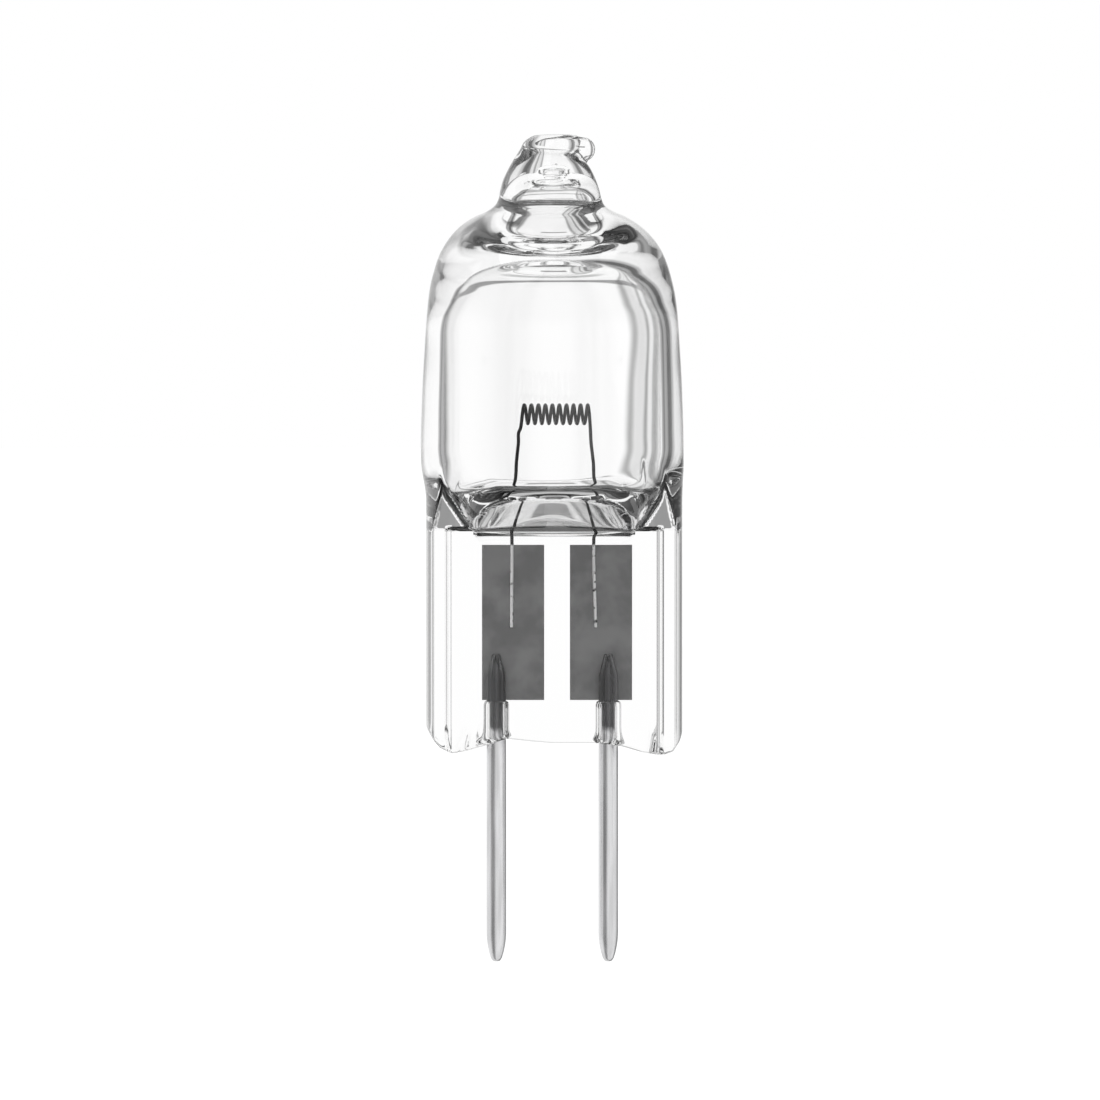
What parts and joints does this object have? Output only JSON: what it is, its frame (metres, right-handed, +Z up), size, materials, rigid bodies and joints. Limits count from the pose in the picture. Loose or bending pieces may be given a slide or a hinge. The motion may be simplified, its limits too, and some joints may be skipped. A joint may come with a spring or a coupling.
{
  "type": "halogen capsule bulb",
  "caption": "Clear quartz halogen capsule lamp with a transverse coiled filament, a pressed seal with foils and plain round pins at 4 mm.",
  "frame": {"origin": "halfway between the two pins, on the seating plane that touches the seal's two feet", "axes": "+Z up along the tube to the exhaust tip, the pins point along -Z, +X from the left pin to the right one, +Y from the front face of the flat seal to its back"},
  "size_m": [0.0094, 0.0094, 0.0296],
  "materials": {
    "clear_quartz": "polished",
    "tungsten_wire": "satin",
    "molybdenum_foil": "satin",
    "molybdenum_pin": "satin"
  },
  "bodies": {
    "root": {"quartz_capsule": "clear_quartz", "filament": "tungsten_wire", "left_foil": "molybdenum_foil", "right_foil": "molybdenum_foil", "left_pin": "molybdenum_pin", "right_pin": "molybdenum_pin"}
  },
  "joints": []
}
